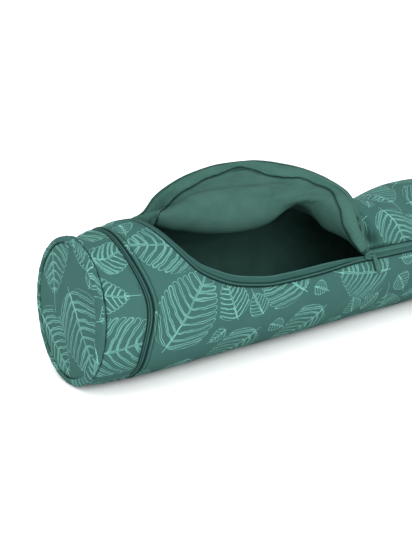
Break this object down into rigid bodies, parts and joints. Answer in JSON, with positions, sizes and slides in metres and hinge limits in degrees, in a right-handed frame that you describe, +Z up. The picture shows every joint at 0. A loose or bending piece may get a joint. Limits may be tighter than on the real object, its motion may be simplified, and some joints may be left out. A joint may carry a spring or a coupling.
{
  "type": "yoga mat bag",
  "caption": "Tube-shaped cloth mat bag lying on its side, its long zip part open with the lined flap thrown up, and a zip round its end pocket.",
  "frame": {"origin": "centre of the object's box, on the surface that the bag lies on", "axes": "+X along the bag from the end pocket to the far end, -Y the side with the open zip, +Z up"},
  "size_m": [0.7116, 0.1682, 0.2027],
  "materials": {
    "leaf_print_cloth": "matt woven cotton with light leaf line drawings on grey green",
    "plain_green_lining": "matt plain weave lining",
    "zip_tape": "matt woven tape",
    "zip_coil": "moulded coil",
    "painted_slider": "satin paint"
  },
  "bodies": {
    "root": {"mat_wall": "leaf_print_cloth", "mat_lining": "plain_green_lining", "pocket_wall": "leaf_print_cloth", "pocket_zip_tape_left": "zip_tape", "pocket_zip_tape_right": "zip_tape", "pocket_zip_coil": "zip_coil", "pocket_zip_slider": "painted_slider", "main_zip_tape_front": "zip_tape", "main_zip_tape_flap": "zip_tape", "main_zip_coil": "zip_coil", "main_zip_slider": "painted_slider", "main_zip_pull": "painted_slider", "end_panel_left": "leaf_print_cloth", "end_welt_left": "leaf_print_cloth", "end_panel_right": "leaf_print_cloth", "end_welt_right": "leaf_print_cloth"}
  },
  "joints": []
}
